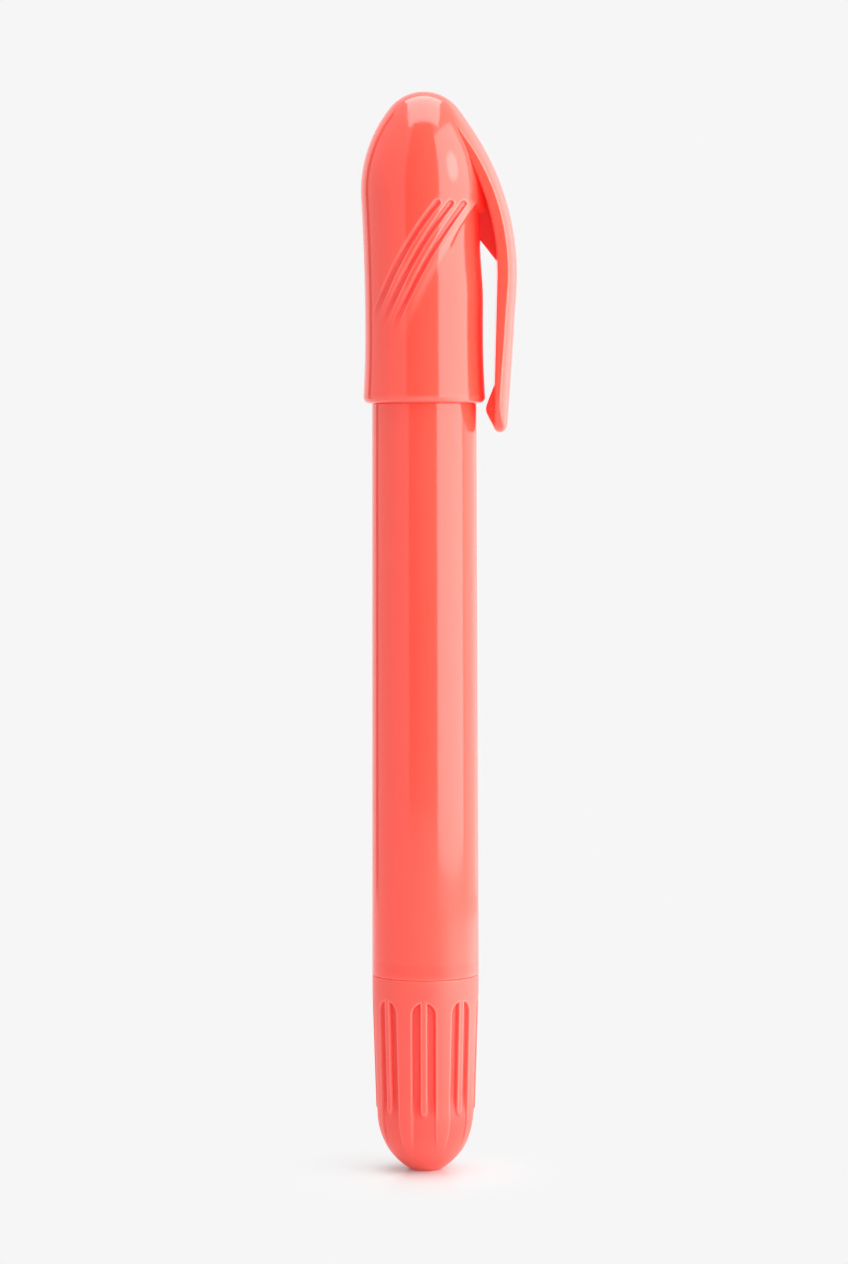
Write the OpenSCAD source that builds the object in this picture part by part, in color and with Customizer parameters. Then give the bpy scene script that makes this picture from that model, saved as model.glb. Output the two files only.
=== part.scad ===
// Gel highlighter: a twist knob turns a lead screw that drives a gel stick out of the nose,
// and a pull-off cap with a moulded clip covers it.
// The origin is the middle of the knob's foot, +Z runs up to the crown of the cap,
// and the clip is on the +X side.

/* [Lengths] */
// Height of the knob, from its foot to the seam under the barrel
knob_h = 25.6; // [20:0.1:32]
// Length of the barrel between the seam and the rim of the cap
barrel_len = 74.2; // [66:0.1:110]
// Height of the cap, from its rim to its crown
cap_h = 40.4; // [38:0.1:52]
// Length of the nose that the cap covers
nose_h = 12.2; // [10:0.1:16]

/* [Barrel] */
// Barrel diameter under the rim of the cap
barrel_d = 13.54; // [12.6:0.02:17]
// Draft angle of the barrel, which widens towards the knob
barrel_draft = 0.15; // [0:0.01:0.4]
// Barrel wall under the rim of the cap
barrel_wall = 1.15; // [0.9:0.05:1.6]
// Chamfer on both edges of the seam
seam_chamfer = 0.15; // [0.05:0.01:0.3]

/* [Knob] */
// How far the knob stands back from the barrel at the seam
seam_step = 0.05; // [0:0.01:0.3]
// Height of the plain collar above the flutes
collar_h = 2.5; // [1.5:0.1:5]
// Taper angle of the fluted grip
grip_taper = 1.75; // [0:0.05:4]
// Height of the rounded end
dome_h = 8.3; // [6:0.1:12]
// Diameter of the flat foot
foot_d = 5; // [3:0.1:7]
// Number of flute groups round the grip
flute_count = 8; // [5:1:9]
// Width of the rib in the middle of each flute group
rib_w = 1.24; // [0.8:0.02:1.6]
// Width of the slot on each side of a rib
slot_w = 0.95; // [0.6:0.01:1.1]
// Depth of the slots
slot_depth = 0.55; // [0.3:0.05:0.9]
// How far the floor of the slots is let down, so that they run out on the rounded end
slot_run_out = 1.3; // [1:0.05:1.6]
// Height of the lower end of the ribs above the foot
rib_foot_h = 8.2; // [7.2:0.1:10]

/* [Knob spigot] */
// Length of the spigot that turns in the barrel
spigot_h = 6.2; // [5.6:0.1:9]
// Height of the retaining bead above the seam
bead_h = 2.2; // [1.6:0.1:2.8]
// Radius of the retaining bead
bead_r = 0.35; // [0.2:0.05:0.5]
// Height of the drag ring above the seam
ring_h = 4.5; // [4.2:0.1:4.9]
// Thickness of the drag ring
ring_d = 1; // [0.7:0.05:1.2]

/* [Lead screw and gel carrier] */
// Advance of the gel for one turn of the knob
screw_lead = 6; // [4:0.5:10]
// Outer diameter of the lead screw
screw_d = 4.4; // [3.6:0.1:5]
// Diameter of the pressed shank below the thread
shank_d = 3.2; // [2.4:0.1:3.4]
// Depth of the shank in the knob, below the seam
shank_depth = 10; // [6:0.5:13]
// Height of the nut at the foot of the carrier
nut_h = 6; // [4:0.5:8]
// Wall of the carrier's tail tube
tail_wall = 0.9; // [0.6:0.05:1.2]
// Room between the knob and the carrier when the gel is wound back
tail_room = 3; // [1:0.5:5]
// Room over the end of the screw when the gel is wound back
screw_room = 1.5; // [0.5:0.1:3]
// How far the screw still reaches past the nut when the gel is wound out
screw_over = 0.5; // [0.2:0.1:2]
// Wall of the cup that holds the gel
cup_wall = 0.68; // [0.5:0.02:0.9]
// Floor of the cup
cup_floor = 1.5; // [1:0.1:3]
// Depth of gel in the cup
cup_depth = 8.5; // [5:0.5:12]
// Width of the two keys that stop the carrier from turning
key_w = 1.6; // [1:0.1:2.4]
// Height of the keys
key_h = 6; // [4:0.5:8]

/* [Guide sleeve] */
// Wall of the guide sleeve round the cup
sleeve_wall = 0.75; // [0.5:0.05:0.95]
// Length of the sleeve below the carrier's cup
sleeve_lead_in = 5; // [3:0.5:8]
// Height of the flange that sits on the end of the barrel
flange_h = 1.2; // [0.8:0.1:2]
// Height of the cap bead above the rim of the cap
nose_bead_h = 3.6; // [2.6:0.1:4.6]
// Chamfer at the end of the nose
nose_chamfer = 0.7; // [0.3:0.05:1]
// How far the gel lies back in the nose when it is wound back
gel_recess = 1; // [0.5:0.1:3]
// How much rounder than the stick itself the end of the gel is
gel_tip_extra = 1; // [0.2:0.1:4]

/* [Cap] */
// Width of the seat between the rim of the cap and the end of the barrel
cap_seat = 0.47; // [0.3:0.01:0.6]
// Cap wall at its waist
cap_wall = 1.34; // [1.1:0.02:1.8]
// Cap wall at the crown and the shoulder
crown_wall = 1.3; // [0.9:0.05:1.6]
// How far the cap flares out from its waist to its rim
cap_flare = 0.25; // [0.05:0.01:0.5]
// How far the cap swells out from its waist to its shoulder
cap_bulge = 0.51; // [0.2:0.01:0.9]
// Height of the waist above the rim
waist_h = 9.2; // [8:0.1:10]
// Depth of the widest part of the shoulder below the crown
shoulder_drop = 12.8; // [11:0.1:14]
// Radius of the crown
crown_r = 5.6; // [5:0.05:6.2]
// Radius of the curve just under the widest part of the shoulder
under_r = 10; // [6:1:14]
// Rounding of the rim's outer edge
lip_r = 0.5; // [0.2:0.05:0.8]
// Height of the foot of the seal liner above the rim
liner_rise = 6.2; // [5.6:0.1:8]
// Room between the liner and the gel that is wound right out
tip_room = 3; // [1:0.1:5]

/* [Swoosh grooves] */
// Number of grooves on each face of the cap
swoosh_count = 3; // [1:1:3]
// Width of a groove
swoosh_w = 0.6; // [0.3:0.05:0.9]
// Depth of the grooves at the shoulder
swoosh_depth = 0.42; // [0.36:0.02:0.5]
// Depth of the grooves at the waist
swoosh_low_depth = 0.2; // [0.16:0.02:0.3]
// How far the floor of the grooves is moved aside, so that they run out at the left
swoosh_fade = 0.12; // [0.06:0.02:0.16]
// Distance of the first groove's upper end from the middle of the face
swoosh_x = 1.8; // [0:0.1:3]
// Step from one groove to the next
swoosh_pitch = 1.7; // [1.2:0.05:1.9]
// Height of the upper ends above the rim
swoosh_top_h = 25.4; // [23:0.1:27]
// Height of the first groove's lower end above the rim
swoosh_low_h = 12.8; // [12.6:0.1:16]
// How much lower each next groove ends
swoosh_low_step = 1.3; // [0:0.1:1.4]
// Curve radius of the first groove
swoosh_r = 45; // [35:1:60]
// How much flatter each next groove curves
swoosh_r_step = 12.5; // [0:0.5:16]
// Lean of the first groove's upper end from the upright
swoosh_lean = 39.6; // [30:0.2:44]
// How much steeper each next groove starts
swoosh_lean_step = 1.3; // [0:0.1:2]
// Depth of the hollow beside the last groove, at the shoulder
hollow_depth = 0.37; // [0.3:0.01:0.5]
// Depth of the hollow at the waist
hollow_waist_depth = 0.2; // [0.1:0.01:0.28]
// Height above the rim where the hollow starts to run out
hollow_low_h = 5.5; // [4.5:0.1:7]
// Depth of the hollow there, below the waist
hollow_low_depth = 0.08; // [0.04:0.01:0.12]
// Height above the rim where the hollow ends
hollow_foot_h = 1.5; // [1:0.1:3]

/* [Clip] */
// Width of the clip
clip_w = 10.2; // [8:0.1:11]
// Thickness of the clip at its belly
clip_t = 2.66; // [2.2:0.02:3]
// Gap between the belly of the clip and the waist of the cap
clip_gap = 1.76; // [1.2:0.02:3]
// Height of the belly above the rim
belly_h = 16.6; // [14:0.1:18]
// Depth of the clip's root under the skin of the crown
clip_sink = 0.1; // [0.05:0.01:0.3]
// Lean of the outer face below the belly
clip_lean = 4; // [3:0.1:5]
// Lean of the inner face below the belly
clip_inner_lean = 2.2; // [1:0.1:2.8]
// Rounding of the two corners at the tip
tip_corner_r = 3.6; // [2:0.1:4]
// Gap between the bump of the clip and the barrel
bump_gap = 1.16; // [0.6:0.02:1.6]
// Radius of the bump and of the clip's rounded tip
bump_r = 2.6; // [2.2:0.05:3]
// Width of the bump
bump_w = 6; // [3:0.1:8]
// Depth of the bump below the rim of the cap
bump_drop = 0.9; // [0:0.1:2]
// Height of the ramp above the bump
ramp_h = 3.6; // [3:0.1:5]
// Lean of the ramp
ramp_lean = 20; // [12:0.5:26]
// Thickness of the web that joins the clip to the cap
web_t = 2.2; // [1.2:0.1:3]
// Height of the web's lower edge above the belly, at the cap
web_low_h = 4.8; // [3:0.1:7]
// How much the web's lower edge drops towards the clip
web_slant = 3.6; // [2:0.1:4.5]

/* [Clearances] */
// Gap between pressed pieces
press_gap = 0.02; // [0.01:0.01:0.05]
// Gap round pieces that slide or turn
run_gap = 0.15; // [0.1:0.01:0.25]
// Gap between the gel and the bore of the nose
gel_gap = 0.2; // [0.1:0.05:0.4]
// Gap between the seal liner and the nose
seal_gap = 0.1; // [0.05:0.01:0.2]
// Gap between the drag ring and the barrel
ring_gap = 0.04; // [0.02:0.01:0.08]
// End gap at the seam and under the rim of the cap
end_gap = 0.1; // [0.05:0.01:0.2]

/* [Hidden] */
$fn = 96;
// Facets that a long, flat arc takes
long_arc_fn = 1440;
// Cones that make up the slightly hollow flank of the cap
flank_steps = 3;

coral = [1, 0.37, 0.31];
coral_satin = [0.98, 0.43, 0.39];
gel_pink = [1, 0.45, 0.42];
milk_white = [0.93, 0.92, 0.9];
ring_grey = [0.35, 0.35, 0.36];

// Overlap of a cutting tool past the face that it opens
over = 1;

// Heights along the axis
seam_z = knob_h;
rim_z = seam_z + barrel_len;
top_z = rim_z + cap_h;
nose_z = rim_z + nose_h;
seat_z = rim_z - end_gap;
neck_z = rim_z + flange_h;
spigot_z = seam_z + spigot_h;

// Radii from the barrel inwards to the gel
barrel_top_r = barrel_d / 2;
barrel_base_r = barrel_top_r + barrel_len * tan(barrel_draft);
barrel_bore_r = barrel_top_r - barrel_wall;
sleeve_r = barrel_bore_r - press_gap;
sleeve_bore_r = sleeve_r - sleeve_wall;
cup_r = sleeve_bore_r - run_gap;
cup_bore_r = cup_r - cup_wall;
gel_r = cup_bore_r - press_gap;
neck_r = gel_r + gel_gap;
key_r = sleeve_r - run_gap;

// Knob and spigot
collar_r = barrel_base_r - seam_step;
collar_z = knob_h - collar_h;
dome_r = collar_r - (collar_z - dome_h) * tan(grip_taper);
foot_in = dome_r - foot_d / 2;
dome_arc_r = (foot_in * foot_in + dome_h * dome_h)
           / (2 * (foot_in * cos(grip_taper) - dome_h * sin(grip_taper)));
spigot_r = barrel_bore_r - run_gap;
ring_r = barrel_bore_r - ring_gap - ring_d / 2;
flute_w = rib_w + 2 * slot_w;

// Lead screw, carrier and travel of the gel
tail_bore_r = screw_d / 2 + run_gap;
tail_r = tail_bore_r + tail_wall;
cap_travel = top_z - crown_wall - tip_room - nose_z + gel_recess;
fixed_stack = spigot_z + tail_room + nut_h + screw_over + screw_room + cup_floor + cup_depth;
sleeve_travel = (neck_z - run_gap - fixed_stack) / 2;
gel_turns = floor(min(cap_travel, sleeve_travel) / screw_lead);
gel_travel = gel_turns * screw_lead;
tail_z = spigot_z + tail_room;
screw_z = tail_z + nut_h + gel_travel + screw_over;
cup_z = screw_z + screw_room;
gel_z = cup_z + cup_floor;
cup_top_z = gel_z + cup_depth;
gel_tip_z = nose_z - gel_recess;
gel_tip_r = gel_r + gel_tip_extra;

// Cap
cap_bore_r = barrel_top_r - cap_seat;
waist_r = cap_bore_r + cap_wall;
mouth_r = waist_r + cap_flare;
bulge_r = waist_r + cap_bulge;
waist_z = rim_z + waist_h;
bulge_z = top_z - shoulder_drop;
crown_z = top_z - crown_r;
crown_rise = crown_z - bulge_z;
shoulder_r = (bulge_r * bulge_r + crown_rise * crown_rise - crown_r * crown_r)
           / (2 * (bulge_r - crown_r));
shoulder_x = bulge_r - shoulder_r;
shoulder_angle = atan2(crown_rise, -shoulder_x);
flank_h = bulge_z - waist_z;
flank_angle = 2 * atan(cap_bulge / flank_h);
flank_r = flank_h / sin(flank_angle) - under_r;
under_z = bulge_z - under_r * sin(flank_angle);
flare_h = waist_h - lip_r;
flare_r = (flare_h * flare_h + cap_flare * cap_flare) / (2 * cap_flare);
flange_r = cap_bore_r - run_gap;
nose_bead_r = flange_r - sleeve_r;
liner_z = rim_z + liner_rise;
liner_r = cap_bore_r - press_gap;
liner_bore_r = sleeve_r + seal_gap;
liner_wall = liner_r - liner_bore_r;

// Clip: its outer face is an arc that runs into the crown of the cap
belly_z = rim_z + belly_h;
belly_x = waist_r + clip_gap + clip_t;
root_r = crown_r - clip_sink;
root_rise = crown_z - belly_z;
clip_arc_r = (belly_x * belly_x + root_rise * root_rise - root_r * root_r)
           / (2 * (belly_x - root_r));
clip_arc_x = belly_x - clip_arc_r;
clip_angle = atan2(root_rise, -clip_arc_x);
bump_x = barrel_top_r + bump_gap + bump_r;
bump_z = rim_z - bump_drop;
clip_end_h = belly_z - bump_z + bump_r;

// Outline of the crown and shoulder of the cap, drawn in by the inset
module dome_outline(inset = 0) {
    tangent_z = crown_z + (crown_r - inset) * sin(shoulder_angle);
    intersection() {
        translate([0, crown_z])
            square([bulge_r, crown_r]);
        translate([0, crown_z])
            circle(r = crown_r - inset);
    }
    intersection() {
        translate([0, bulge_z - over])
            square([bulge_r, tangent_z - bulge_z + over]);
        translate([shoulder_x, bulge_z])
            circle(r = shoulder_r - inset);
    }
}

// Radius of the hollow flank at a height between the waist and the shoulder
function flank_x(z) = waist_r + flank_r - sqrt(flank_r * flank_r - (z - waist_z) * (z - waist_z));

// Outline of the cap below its shoulder, drawn in by the inset: each stretch laps the next
module flank_outline(inset = 0) {
    intersection() {
        translate([0, under_z - over])
            square([bulge_r, bulge_z - under_z + over]);
        translate([bulge_r - under_r, bulge_z])
            circle(r = under_r - inset);
    }
    polygon([[0, waist_z - over],
             [waist_r - inset, waist_z - over],
             for (step = [0 : flank_steps])
                 let (z = waist_z + (under_z - waist_z) * step / flank_steps)
                     [flank_x(z) - inset, z],
             [0, under_z]]);
    difference() {
        translate([0, rim_z + lip_r])
            square([bulge_r, waist_h - lip_r]);
        translate([waist_r + flare_r, waist_z])
            circle(r = flare_r + inset, $fn = long_arc_fn);
    }
    translate([0, rim_z])
        square([mouth_r - lip_r - inset, lip_r + over]);
    translate([mouth_r - lip_r - inset, rim_z + lip_r])
        circle(r = lip_r);
}

// Room inside a pot that follows the crown, open at the foot
module pot_outline(radius, inset, foot_z) {
    intersection() {
        translate([0, foot_z])
            square([radius, top_z - foot_z]);
        union() {
            translate([0, foot_z])
                square([radius, bulge_z - foot_z]);
            dome_outline(inset);
        }
    }
}

// Curve radius, upper end and centre of one line of the face, as seen from the front
function swoosh_radius(index) = swoosh_r + index * swoosh_r_step;
function swoosh_start(index) = [swoosh_x + index * swoosh_pitch, rim_z + swoosh_top_h];
function swoosh_centre(index) =
    let (lean = swoosh_lean - index * swoosh_lean_step)
        swoosh_start(index) + swoosh_radius(index) * [cos(lean), -sin(lean)];

// One groove of the face, flat, as seen from the front
module swoosh_outline(index) {
    radius = swoosh_radius(index);
    start = swoosh_start(index);
    centre = swoosh_centre(index);
    low_z = rim_z + swoosh_low_h - index * swoosh_low_step;
    low_x = centre[0] - sqrt(radius * radius - (low_z - centre[1]) * (low_z - centre[1]));
    intersection() {
        difference() {
            translate(centre)
                circle(r = radius + swoosh_w / 2, $fn = long_arc_fn);
            translate(centre)
                circle(r = radius - swoosh_w / 2, $fn = long_arc_fn);
        }
        translate([low_x - swoosh_w, low_z])
            square([start[0] - low_x + 2 * swoosh_w, start[1] - low_z]);
    }
    translate(start)
        circle(d = swoosh_w);
    translate([low_x, low_z])
        circle(d = swoosh_w);
}

// Grooves of one face: their floor is a cone set in from the skin of the cap and moved aside
module swoosh_cut() {
    low_r = waist_r - swoosh_low_depth;
    top_r = bulge_r - swoosh_depth;
    slope = (top_r - low_r) / (bulge_z - waist_z);
    difference() {
        rotate([90, 0, 0])
            linear_extrude(bulge_r + over)
                for (index = [0 : swoosh_count - 1])
                    swoosh_outline(index);
        translate([-swoosh_fade, 0, rim_z])
            cylinder(r1 = low_r - slope * waist_h, r2 = top_r, h = bulge_z - rim_z);
    }
}

// The hollow on the clip's side of the cap: its edge is the next line after the grooves,
// and its floor draws in towards the shoulder and runs out above the rim
module hollow_cut() {
    centre = swoosh_centre(swoosh_count);
    edge_top_z = swoosh_start(swoosh_count)[1];
    difference() {
        rotate([90, 0, 0])
            linear_extrude(2 * (bulge_r + over), center = true)
                intersection() {
                    translate(centre)
                        circle(r = swoosh_radius(swoosh_count), $fn = long_arc_fn);
                    translate([-bulge_r, rim_z])
                        square([2 * bulge_r + over, edge_top_z - rim_z]);
                }
        rotate_extrude()
            polygon([[0, rim_z - over],
                     [bulge_r + 2 * over, rim_z - over],
                     [bulge_r + 2 * over, rim_z + hollow_foot_h],
                     [mouth_r, rim_z + hollow_foot_h],
                     [waist_r - hollow_low_depth, rim_z + hollow_low_h],
                     [waist_r - hollow_waist_depth, waist_z],
                     [waist_r - hollow_depth, belly_z],
                     [waist_r - hollow_depth, bulge_z],
                     [0, bulge_z]]);
    }
}

// Outline of the outer face of the clip, which runs round the axis of the cap:
// an arc from the crown past the belly, then a straight end
module clip_outline() {
    turn_x = clip_arc_x + clip_arc_r * cos(clip_lean);
    turn_z = belly_z - clip_arc_r * sin(clip_lean);
    root_z = belly_z + clip_arc_r * sin(clip_angle);
    low_z = bump_z - bump_r - over;
    intersection() {
        translate([clip_arc_x, belly_z])
            circle(r = clip_arc_r, $fn = long_arc_fn);
        translate([0, turn_z])
            square([belly_x, root_z - turn_z]);
    }
    polygon([[0, low_z],
             [turn_x - (turn_z - low_z) * tan(clip_lean), low_z],
             [turn_x, turn_z],
             [turn_x - over, turn_z + over],
             [0, turn_z + over]]);
}

// Side view of the room behind the strap
module clip_room_outline() {
    inner_r = clip_arc_r - clip_t;
    turn_x = clip_arc_x + inner_r * cos(clip_inner_lean);
    turn_z = belly_z - inner_r * sin(clip_inner_lean);
    translate([clip_arc_x, belly_z])
        circle(r = inner_r, $fn = long_arc_fn);
    polygon([[0, turn_z],
             [turn_x, turn_z],
             [turn_x - clip_end_h * tan(clip_inner_lean), turn_z - clip_end_h],
             [0, turn_z - clip_end_h]]);
}

// Side view of the strap, which thins towards its rounded tip
module strap_outline() {
    difference() {
        union() {
            translate([0, bump_z])
                square([belly_x + over, top_z - bump_z]);
            translate([bump_x, bump_z])
                circle(r = bump_r);
        }
        clip_room_outline();
    }
}

// Side view of the bump and of the ramp that leads up from it
module bump_outline() {
    ramp_x = bump_x - bump_r * cos(ramp_lean);
    ramp_z = bump_z + bump_r * sin(ramp_lean);
    ramp_top = bump_z + ramp_h;
    translate([bump_x, bump_z])
        circle(r = bump_r);
    polygon([[ramp_x, ramp_z],
             [bump_x, bump_z],
             [bump_x, ramp_top],
             [ramp_x + (ramp_top - ramp_z) * tan(ramp_lean), ramp_top]]);
}

// Outline of the strap seen from the clip's side, with its two rounded corners
module clip_face_outline() {
    tip_z = bump_z - bump_r;
    corner_z = tip_z + tip_corner_r;
    flat_w = clip_w - 2 * tip_corner_r;
    translate([-clip_w / 2, corner_z])
        square([clip_w, top_z - corner_z]);
    translate([-flat_w / 2, tip_z])
        square([flat_w, tip_corner_r + over]);
    for (side = [-1, 1])
        translate([side * flat_w / 2, corner_z])
            circle(r = tip_corner_r);
}

// Middle of the strap's thickness at a height above the belly
function strap_x(z) = clip_arc_x + sqrt(pow(clip_arc_r - clip_t / 2, 2) - pow(z - belly_z, 2));

// Side view of the web between the cap and the upper clip
module web_outline() {
    low_z = belly_z + web_low_h;
    root_x = (cap_bore_r + waist_r) / 2;
    polygon([[root_x, low_z],
             [strap_x(low_z - web_slant), low_z - web_slant],
             [strap_x(bulge_z), bulge_z],
             [root_x, bulge_z]]);
}

module clip() {
    intersection() {
        rotate_extrude()
            clip_outline();
        rotate([90, 0, 90])
            linear_extrude(belly_x + over)
                clip_face_outline();
        rotate([90, 0, 0])
            union() {
                linear_extrude(clip_w + over, center = true)
                    strap_outline();
                linear_extrude(bump_w, center = true)
                    bump_outline();
            }
    }
    rotate([90, 0, 0])
        linear_extrude(web_t, center = true)
            web_outline();
}

module cap() {
    color(coral)
        difference() {
            union() {
                difference() {
                    rotate_extrude() {
                        dome_outline();
                        flank_outline();
                    }
                    hollow_cut();
                    for (face = [0, 1])
                        mirror([0, face, 0])
                            swoosh_cut();
                }
                clip();
            }
            rotate_extrude()
                pot_outline(cap_bore_r, crown_wall, rim_z - over);
        }
}

module inner_cap() {
    color(milk_white)
        rotate_extrude()
            difference() {
                pot_outline(liner_r, crown_wall + press_gap, liner_z);
                pot_outline(liner_bore_r, crown_wall + press_gap + liner_wall, liner_z - over);
            }
}

module barrel() {
    color(coral)
        rotate_extrude()
            difference() {
                polygon([[barrel_bore_r, seam_z + end_gap],
                         [barrel_base_r - seam_chamfer, seam_z + end_gap],
                         [barrel_base_r, seam_z + end_gap + seam_chamfer],
                         [barrel_top_r, seat_z],
                         [barrel_bore_r, seat_z]]);
                translate([spigot_r, seam_z + bead_h])
                    circle(r = bead_r + 2 * run_gap);
            }
}

module guide_sleeve() {
    color(milk_white)
        difference() {
            rotate_extrude() {
                polygon([[sleeve_bore_r, cup_z - sleeve_lead_in],
                         [sleeve_r, cup_z - sleeve_lead_in],
                         [sleeve_r, seat_z],
                         [flange_r, seat_z],
                         [flange_r, neck_z],
                         [sleeve_r, neck_z],
                         [sleeve_r, nose_z - nose_chamfer],
                         [sleeve_r - nose_chamfer, nose_z],
                         [neck_r, nose_z],
                         [neck_r, neck_z],
                         [sleeve_bore_r, neck_z]]);
                intersection() {
                    translate([sleeve_r, rim_z + nose_bead_h])
                        circle(r = nose_bead_r);
                    translate([neck_r, rim_z])
                        square([cap_bore_r - neck_r, nose_h]);
                }
            }
            translate([-barrel_top_r, -key_w / 2 - run_gap, cup_z - sleeve_lead_in - over])
                cube([2 * barrel_top_r, key_w + 2 * run_gap, seat_z - cup_z + sleeve_lead_in]);
        }
}

module gel_stick() {
    color(gel_pink)
        rotate_extrude()
            intersection() {
                translate([0, gel_z])
                    square([gel_r, gel_tip_z - gel_z]);
                union() {
                    translate([0, gel_z])
                        square([gel_r, gel_tip_z - gel_tip_r - gel_z]);
                    translate([0, gel_tip_z - gel_tip_r])
                        circle(r = gel_tip_r);
                }
            }
}

module gel_carrier() {
    color(milk_white)
        difference() {
            union() {
                translate([0, 0, tail_z])
                    cylinder(r = tail_r, h = cup_z - tail_z);
                translate([0, 0, cup_z])
                    cylinder(r = cup_r, h = cup_top_z - cup_z);
                translate([-key_r, -key_w / 2, cup_z])
                    cube([2 * key_r, key_w, key_h]);
            }
            translate([0, 0, gel_z])
                cylinder(r = cup_bore_r, h = cup_depth + over);
            translate([0, 0, tail_z - over])
                cylinder(r = tail_bore_r, h = cup_z - tail_z + over);
        }
}

module lead_screw() {
    color(milk_white) {
        translate([0, 0, seam_z - shank_depth + press_gap])
            cylinder(d = shank_d, h = spigot_h + shank_depth + over);
        translate([0, 0, spigot_z + press_gap])
            cylinder(d = screw_d, h = screw_z - spigot_z - press_gap);
    }
}

// Outline of the outside of the knob below the seam, drawn in by the inset
module knob_outline(inset = 0) {
    side_in = inset / cos(grip_taper);
    polygon([[0, dome_h],
             [dome_r - side_in, dome_h],
             [collar_r - side_in, collar_z],
             [collar_r - inset, knob_h - seam_chamfer],
             [collar_r - inset - seam_chamfer, knob_h],
             [0, knob_h]]);
    intersection() {
        square([dome_r, dome_h]);
        translate([dome_r - dome_arc_r * cos(grip_taper), dome_h + dome_arc_r * sin(grip_taper)])
            circle(r = dome_arc_r - inset);
    }
}

// One flute group, flat: an arched recess with a rib left standing in it
module flute_outline() {
    difference() {
        union() {
            translate([-flute_w / 2, -slot_run_out])
                square([flute_w, collar_z - flute_w / 2 + slot_run_out]);
            translate([0, collar_z - flute_w / 2])
                circle(d = flute_w);
        }
        translate([-rib_w / 2, rib_foot_h + rib_w / 2])
            square([rib_w, knob_h]);
        translate([0, rib_foot_h + rib_w / 2])
            circle(d = rib_w);
    }
}

// The recesses of the grip: their floor is the knob's outside, set in and let down
module flute_cut() {
    difference() {
        for (flute = [0 : flute_count - 1])
            rotate([0, 0, flute * 360 / flute_count])
                rotate([90, 0, 90])
                    linear_extrude(barrel_base_r + over)
                        flute_outline();
        translate([0, 0, -slot_run_out])
            rotate_extrude()
                knob_outline(slot_depth);
    }
}

module turn_knob() {
    color(coral_satin)
        difference() {
            union() {
                difference() {
                    rotate_extrude()
                        knob_outline();
                    flute_cut();
                }
                rotate_extrude()
                    difference() {
                        union() {
                            translate([0, knob_h])
                                square([spigot_r, spigot_h]);
                            translate([spigot_r, seam_z + bead_h])
                                circle(r = bead_r);
                        }
                        translate([ring_r - ring_d / 2 - press_gap, seam_z + ring_h - ring_d / 2 - press_gap])
                            square([ring_d + over, ring_d + 2 * press_gap]);
                    }
            }
            translate([0, 0, seam_z - shank_depth])
                cylinder(d = shank_d + 2 * press_gap, h = spigot_h + shank_depth + over);
        }
}

module drag_ring() {
    color(ring_grey)
        rotate_extrude()
            translate([ring_r, seam_z + ring_h])
                circle(d = ring_d);
}

cap();
inner_cap();
barrel();
guide_sleeve();
gel_stick();
gel_carrier();
lead_screw();
turn_knob();
drag_ring();
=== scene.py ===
import math

import bmesh
import bpy
import numpy as np
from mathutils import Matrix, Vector


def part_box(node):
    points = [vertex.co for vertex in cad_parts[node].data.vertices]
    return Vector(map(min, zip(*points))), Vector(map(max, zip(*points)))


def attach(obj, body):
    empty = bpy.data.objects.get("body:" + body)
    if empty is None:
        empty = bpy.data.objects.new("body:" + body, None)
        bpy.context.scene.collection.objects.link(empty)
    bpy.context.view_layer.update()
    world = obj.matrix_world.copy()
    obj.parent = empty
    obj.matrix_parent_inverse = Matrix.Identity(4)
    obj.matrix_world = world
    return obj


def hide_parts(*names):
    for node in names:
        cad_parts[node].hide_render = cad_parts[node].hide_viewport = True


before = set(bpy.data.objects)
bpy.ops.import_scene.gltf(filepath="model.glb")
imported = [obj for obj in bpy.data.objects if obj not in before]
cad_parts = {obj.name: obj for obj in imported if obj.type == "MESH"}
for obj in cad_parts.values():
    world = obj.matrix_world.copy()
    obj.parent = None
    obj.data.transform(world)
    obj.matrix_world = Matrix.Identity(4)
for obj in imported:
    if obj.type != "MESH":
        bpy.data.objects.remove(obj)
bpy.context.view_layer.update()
mm = 0.001  # sizes of the object are in millimetres, and the mesh helpers turn them into metres


# sizes read from the frame
def nodeBox(node):
    low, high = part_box(node)
    return low / mm, high / mm


barrelLow, barrelHigh = nodeBox("barrel")
capLow, capHigh = nodeBox("cap")
gelLow, gelHigh = nodeBox("gel_stick")
screwLow, screwHigh = nodeBox("lead_screw")
spigotZ = nodeBox("turn_knob")[1].z

endGap = 0.1  # the solid barrel ends this far inside the seam and the cap's rim
seamZ = barrelLow.z - endGap
rimZ = barrelHigh.z + endGap
crownDrop = 0.3  # the photo's crown stands this much lower
topZ = capHigh.z - crownDrop
print("frame loaded, object", round(topZ, 1), "mm high")


# mesh helpers
axisGap = 0.05  # turned profiles stop this close to the axis, and a fan closes them


def arcPoints(centreX, centreZ, radius, startAngle, endAngle, steps):
    angles = np.radians(np.linspace(startAngle, endAngle, steps + 1))
    return np.column_stack((centreX + radius * np.cos(angles), centreZ + radius * np.sin(angles)))


def linePoints(start, end, steps):
    share = np.linspace(0.0, 1.0, steps + 1)[:, None]
    return np.asarray(start) * (1 - share) + np.asarray(end) * share


def joinStretches(*stretches):
    points = [stretches[0]]
    for stretch in stretches[1:]:
        repeated = np.allclose(points[-1][-1], stretch[0], atol=1e-6)
        points.append(stretch[1:] if repeated else stretch)
    return np.concatenate(points)


def smoothStep(value):
    value = np.clip(value, 0.0, 1.0)
    return value * value * (3.0 - 2.0 * value)


def fadeOut(value, start, end):
    return 1 - smoothStep((value - start) / (end - start))


def bell(value, middle, spread):
    return np.exp(-((value - middle) / spread) ** 2)


def softMax(first, second, soft):
    return (first + second + math.hypot(first - second, soft)) / 2


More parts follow.
